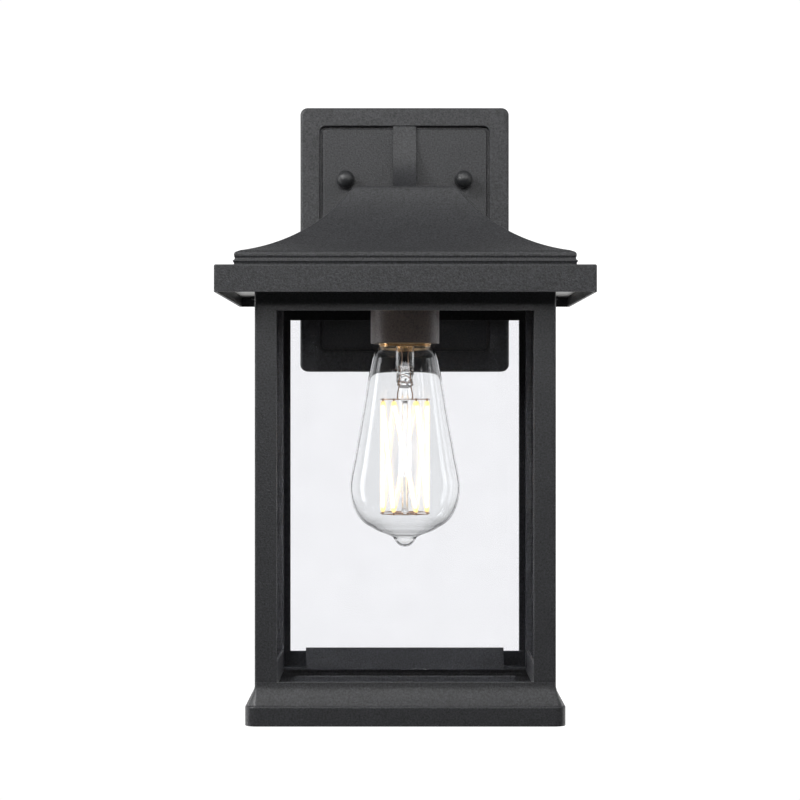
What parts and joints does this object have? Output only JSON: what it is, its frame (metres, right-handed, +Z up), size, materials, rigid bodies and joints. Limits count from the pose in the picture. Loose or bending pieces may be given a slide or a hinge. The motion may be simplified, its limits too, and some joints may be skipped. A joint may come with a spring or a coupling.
{
  "type": "outdoor wall lantern",
  "caption": "Square black outdoor wall lantern: bell roof, clear glass cage, open flared base, screw-in pear lamp, and an arm on a rectangular back plate.",
  "frame": {"origin": "on the wall plane, on the crossbar's back face, level with the two studs and midway between them", "axes": "+Z up, +Y into the wall, the lantern stands out towards -Y"},
  "size_m": [0.2062, 0.2381, 0.3617],
  "materials": {
    "powder_coat": "fine sandy black powder coat",
    "bronze_black": "dark bronze-black paint",
    "ball_nut": "satin black",
    "zinc_steel": "zinc plated",
    "black_screw": "black oxide",
    "green_screw": "green passivated",
    "tinned_lug": "tinned",
    "black_rubber": "matt",
    "foam": "closed-cell foam",
    "clear_pane": "clear float glass",
    "white_plastic": "moulded",
    "porcelain": "unglazed porcelain",
    "brass_shell": "stamped",
    "black_wire": "insulated",
    "white_wire": "insulated",
    "green_wire": "insulated",
    "orange_plastic": "ribbed cap",
    "lamp_glass": "clear blown glass",
    "lamp_cap": "bright",
    "black_glass": "vitrified",
    "solder": "soft solder",
    "circuit_board": "board with parts",
    "copper_wire": "copper",
    "light_rod": "glowing warm white"
  },
  "bodies": {
    "lantern": {"back_plate": "powder_coat", "wall_gasket": "foam", "crossbar": "zinc_steel", "mounting_studs": "zinc_steel", "crossbar_locknuts": "zinc_steel", "ground_screw": "green_screw", "plate_ground_screw": "green_screw", "ground_lugs": "tinned_lug", "support_arm": "powder_coat", "arm_plate_screws": "zinc_steel", "arm_roof_screws": "zinc_steel", "arm_grommet": "black_rubber", "roof_bell": "powder_coat", "roof_fascia": "powder_coat", "roof_screws": "zinc_steel", "soffit_plate": "zinc_steel", "soffit_screws": "black_screw", "cage_top_ring": "powder_coat", "corner_post_front_left": "powder_coat", "corner_post_front_right": "powder_coat", "corner_post_rear_left": "powder_coat", "corner_post_rear_right": "powder_coat", "glass_front": "clear_pane", "glass_right": "clear_pane", "glass_rear": "clear_pane", "glass_left": "clear_pane", "glass_seals": "black_rubber", "glass_cushions": "black_rubber", "base_skirt": "powder_coat", "glass_stop_pan": "powder_coat", "cage_screws": "zinc_steel", "base_screws": "black_screw", "lampholder_bridge": "zinc_steel", "bridge_screws": "black_screw", "socket_cup": "bronze_black", "threaded_nipple": "zinc_steel", "nipple_nuts": "zinc_steel", "nipple_bush": "white_plastic", "socket_body": "porcelain", "socket_shell": "brass_shell", "socket_centre_contact": "brass_shell", "socket_screws": "brass_shell", "wire_live": "black_wire", "wire_neutral": "white_wire", "wire_ground": "green_wire", "wire_connectors": "orange_plastic"},
    "bulb_eyelet": {"bulb_contact": "solder"},
    "bulb": {"bulb_glass": "lamp_glass", "bulb_cap": "lamp_cap", "bulb_insulator": "black_glass", "bulb_driver": "circuit_board", "bulb_stem": "lamp_glass", "bulb_lead_wires": "copper_wire", "bulb_support_wires": "copper_wire", "bulb_filaments": "light_rod"},
    "left_washer": {"cap_washer_left": "black_rubber"},
    "left_nut": {"cap_nut_left": "ball_nut"},
    "right_washer": {"cap_washer_right": "black_rubber"},
    "right_nut": {"cap_nut_right": "ball_nut"}
  },
  "joints": [
    {"name": "bulb_feed", "type": "slide", "parent": "lantern", "child": "bulb_eyelet", "axis": [0, 0, -1], "range_m": [0, 0.0137]},
    {"name": "bulb_turn", "type": "hinge", "parent": "bulb_eyelet", "child": "bulb", "pos_m": [0, -0.135, -0.085], "axis": [0, 0, -1], "range_deg": [0, 1350]},
    {"name": "left_nut_feed", "type": "slide", "parent": "lantern", "child": "left_washer", "axis": [0, -1, 0], "range_m": [0, 0.007]},
    {"name": "left_nut_turn", "type": "hinge", "parent": "left_washer", "child": "left_nut", "pos_m": [-0.037, -0.027, 0], "axis": [0, -1, 0], "range_deg": [0, 3601]},
    {"name": "right_nut_feed", "type": "slide", "parent": "lantern", "child": "right_washer", "axis": [0, -1, 0], "range_m": [0, 0.007]},
    {"name": "right_nut_turn", "type": "hinge", "parent": "right_washer", "child": "right_nut", "pos_m": [0.037, -0.027, 0], "axis": [0, -1, 0], "range_deg": [0, 3601]}
  ],
  "couplings": [
    {"joint": "bulb_feed", "follows": "bulb_turn", "m_per_rad": 0.00057757},
    {"joint": "left_nut_turn", "follows": "left_nut_feed", "rad_per_m": 8976},
    {"joint": "right_nut_turn", "follows": "right_nut_feed", "rad_per_m": 8976}
  ]
}
